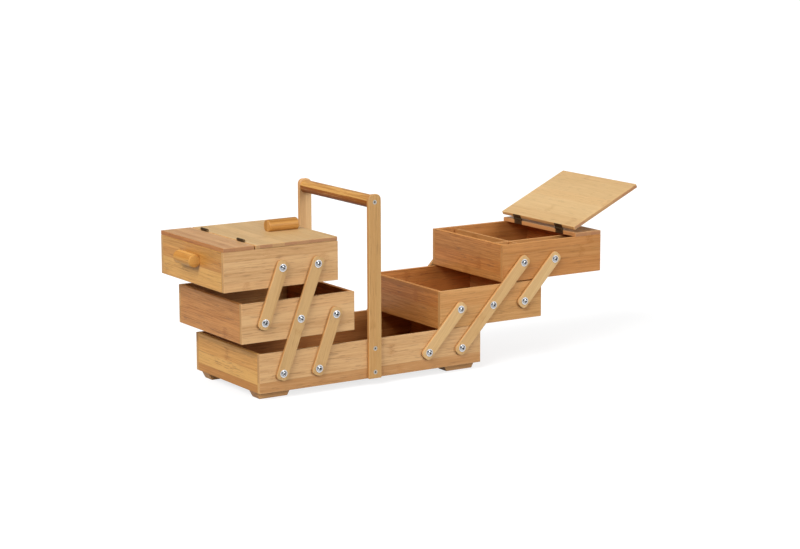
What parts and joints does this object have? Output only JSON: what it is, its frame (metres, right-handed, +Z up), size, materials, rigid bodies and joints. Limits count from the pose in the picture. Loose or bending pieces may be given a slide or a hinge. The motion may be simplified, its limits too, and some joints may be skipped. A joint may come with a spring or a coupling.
{
  "type": "sewing carrier",
  "caption": "Bamboo cantilever sewing carrier: base, two middle and two lidded upper trays that swing out on parallel arms, with a fixed carrying handle.",
  "frame": {"origin": "on the ground under the centre of the bounding box in the stored half-open pose; the middle of the base and handle lies at x = -0.1190 m", "axes": "+Z up, +X along the trays towards the fully opened side, -Y towards the front face"},
  "size_m": [0.7886, 0.2172, 0.296],
  "materials": {
    "bamboo_face": "satin",
    "bamboo_end": "satin",
    "bamboo_arm": "satin",
    "bamboo_dowel": "satin",
    "zinc": "bright",
    "bronze": "antique"
  },
  "bodies": {
    "base": {"base_front_panel": "bamboo_face", "base_back_panel": "bamboo_face", "base_left_end": "bamboo_end", "base_right_end": "bamboo_end", "base_bottom": "bamboo_end", "base_feet": "bamboo_end", "base_pivot_screws": "zinc", "handle_front_upright": "bamboo_face", "handle_back_upright": "bamboo_face", "handle_grip": "bamboo_dowel", "handle_screws": "zinc"},
    "left_long_arms": {"left_long_arms": "bamboo_arm"},
    "left_lower_short_arms": {"left_lower_short_arms": "bamboo_arm"},
    "left_upper_short_arms": {"left_upper_short_arms": "bamboo_arm"},
    "left_middle_tray": {"left_middle_front_panel": "bamboo_face", "left_middle_back_panel": "bamboo_face", "left_middle_inner_end": "bamboo_end", "left_middle_outer_end": "bamboo_end", "left_middle_bottom": "bamboo_end", "left_middle_pivot_screws": "zinc"},
    "left_upper_tray": {"left_upper_front_panel": "bamboo_face", "left_upper_back_panel": "bamboo_face", "left_upper_inner_end": "bamboo_end", "left_upper_outer_end": "bamboo_end", "left_upper_bottom": "bamboo_end", "left_upper_pivot_screws": "zinc", "left_upper_top_strip": "bamboo_face", "left_upper_cross_divider": "bamboo_end", "left_upper_long_divider": "bamboo_end", "left_upper_end_pull": "bamboo_dowel", "left_upper_hinge_leaves": "bronze", "left_upper_hinge_pins": "bronze"},
    "left_lid": {"left_lid_panel": "bamboo_face", "left_lid_knob": "bamboo_dowel", "left_lid_hinge_leaves": "bronze"},
    "right_long_arms": {"right_long_arms": "bamboo_arm"},
    "right_lower_short_arms": {"right_lower_short_arms": "bamboo_arm"},
    "right_upper_short_arms": {"right_upper_short_arms": "bamboo_arm"},
    "right_middle_tray": {"right_middle_front_panel": "bamboo_face", "right_middle_back_panel": "bamboo_face", "right_middle_inner_end": "bamboo_end", "right_middle_outer_end": "bamboo_end", "right_middle_bottom": "bamboo_end", "right_middle_pivot_screws": "zinc"},
    "right_upper_tray": {"right_upper_front_panel": "bamboo_face", "right_upper_back_panel": "bamboo_face", "right_upper_inner_end": "bamboo_end", "right_upper_outer_end": "bamboo_end", "right_upper_bottom": "bamboo_end", "right_upper_pivot_screws": "zinc", "right_upper_top_strip": "bamboo_face", "right_upper_cross_divider": "bamboo_end", "right_upper_long_divider": "bamboo_end", "right_upper_end_pull": "bamboo_dowel", "right_upper_hinge_leaves": "bronze", "right_upper_hinge_pins": "bronze"},
    "right_lid": {"right_lid_panel": "bamboo_face", "right_lid_knob": "bamboo_dowel", "right_lid_hinge_leaves": "bronze"}
  },
  "joints": [
    {"name": "left_fold", "type": "hinge", "parent": "base", "child": "left_long_arms", "pos_m": [-0.28048, 0, 0.039], "axis": [0, -1, 0], "range_deg": [-22.78, 64.78]},
    {"name": "left_middle_tray_turn", "type": "hinge", "parent": "left_long_arms", "child": "left_middle_tray", "pos_m": [-0.24966, 0, 0.11929], "axis": [0, -1, 0], "range_deg": [-64.78, 22.78]},
    {"name": "left_upper_tray_turn", "type": "hinge", "parent": "left_long_arms", "child": "left_upper_tray", "pos_m": [-0.21884, 0, 0.19958], "axis": [0, -1, 0], "range_deg": [-64.78, 22.78]},
    {"name": "left_lower_short_arm_turn", "type": "hinge", "parent": "base", "child": "left_lower_short_arms", "pos_m": [-0.21848, 0, 0.039], "axis": [0, -1, 0], "range_deg": [-22.78, 64.78]},
    {"name": "left_upper_short_arm_turn", "type": "hinge", "parent": "left_middle_tray", "child": "left_upper_short_arms", "pos_m": [-0.31066, 0, 0.11929], "axis": [0, -1, 0], "range_deg": [-22.78, 64.78]},
    {"name": "left_lid_hinge", "type": "hinge", "parent": "left_upper_tray", "child": "left_lid", "pos_m": [-0.32339, 0, 0.23878], "axis": [0, -1, 0], "range_deg": [0, 180]},
    {"name": "right_fold", "type": "hinge", "parent": "base", "child": "right_long_arms", "pos_m": [0.04252, 0, 0.039], "axis": [0, 1, 0], "range_deg": [-87.55, 0]},
    {"name": "right_middle_tray_turn", "type": "hinge", "parent": "right_long_arms", "child": "right_middle_tray", "pos_m": [0.10202, 0, 0.1011], "axis": [0, 1, 0], "range_deg": [0, 87.55]},
    {"name": "right_upper_tray_turn", "type": "hinge", "parent": "right_long_arms", "child": "right_upper_tray", "pos_m": [0.16152, 0, 0.1632], "axis": [0, 1, 0], "range_deg": [0, 87.55]},
    {"name": "right_lower_short_arm_turn", "type": "hinge", "parent": "base", "child": "right_lower_short_arms", "pos_m": [-0.01948, 0, 0.039], "axis": [0, 1, 0], "range_deg": [-87.55, 0]},
    {"name": "right_upper_short_arm_turn", "type": "hinge", "parent": "right_middle_tray", "child": "right_upper_short_arms", "pos_m": [0.16302, 0, 0.1011], "axis": [0, 1, 0], "range_deg": [-87.55, 0]},
    {"name": "right_lid_hinge", "type": "hinge", "parent": "right_upper_tray", "child": "right_lid", "pos_m": [0.26607, 0, 0.2024], "axis": [0, 1, 0], "range_deg": [-155, 25]}
  ],
  "couplings": [
    {"joint": "left_middle_tray_turn", "follows": "left_fold", "ratio": -1},
    {"joint": "left_upper_tray_turn", "follows": "left_fold", "ratio": -1},
    {"joint": "left_lower_short_arm_turn", "follows": "left_fold", "ratio": 1},
    {"joint": "left_upper_short_arm_turn", "follows": "left_fold", "ratio": 1},
    {"joint": "right_middle_tray_turn", "follows": "right_fold", "ratio": -1},
    {"joint": "right_upper_tray_turn", "follows": "right_fold", "ratio": -1},
    {"joint": "right_lower_short_arm_turn", "follows": "right_fold", "ratio": 1},
    {"joint": "right_upper_short_arm_turn", "follows": "right_fold", "ratio": 1}
  ]
}
